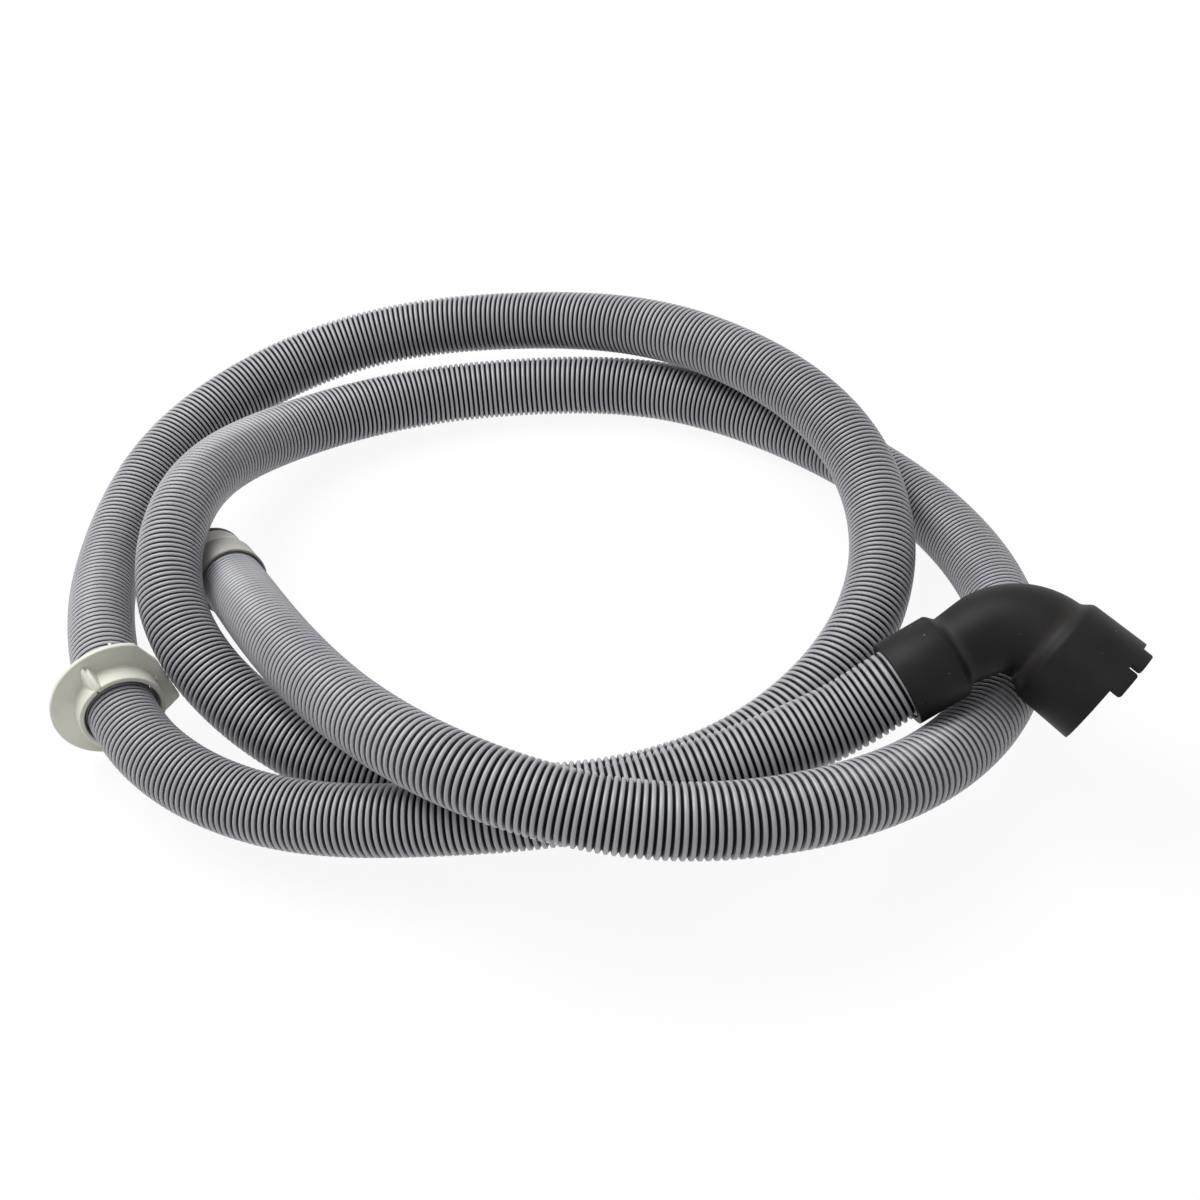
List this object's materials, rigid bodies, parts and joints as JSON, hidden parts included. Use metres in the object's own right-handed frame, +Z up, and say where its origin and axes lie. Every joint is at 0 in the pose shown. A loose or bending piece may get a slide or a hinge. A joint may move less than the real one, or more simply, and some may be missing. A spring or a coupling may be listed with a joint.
{
  "type": "dishwasher drain hose",
  "caption": "Coiled corrugated drain hose with an angled rubber socket, a plain end cuff and a split panel grommet that slides along it.",
  "frame": {"origin": "centre of the fittings' box on the floor plane the coil lies on", "axes": "+X to the viewer's right along the coil's long side, towards the elbow; +Y away from the viewer; +Z up from the floor"},
  "size_m": [0.3698, 0.3135, 0.071],
  "materials": {
    "hose": "satin moulded polypropylene",
    "elbow": "matte moulded",
    "end_cuff": "matte moulded, grey",
    "panel_grommet": "satin moulded, off-white"
  },
  "bodies": {
    "root": {"hose": "hose", "elbow": "elbow", "end_cuff": "end_cuff", "panel_grommet": "panel_grommet"}
  },
  "joints": []
}
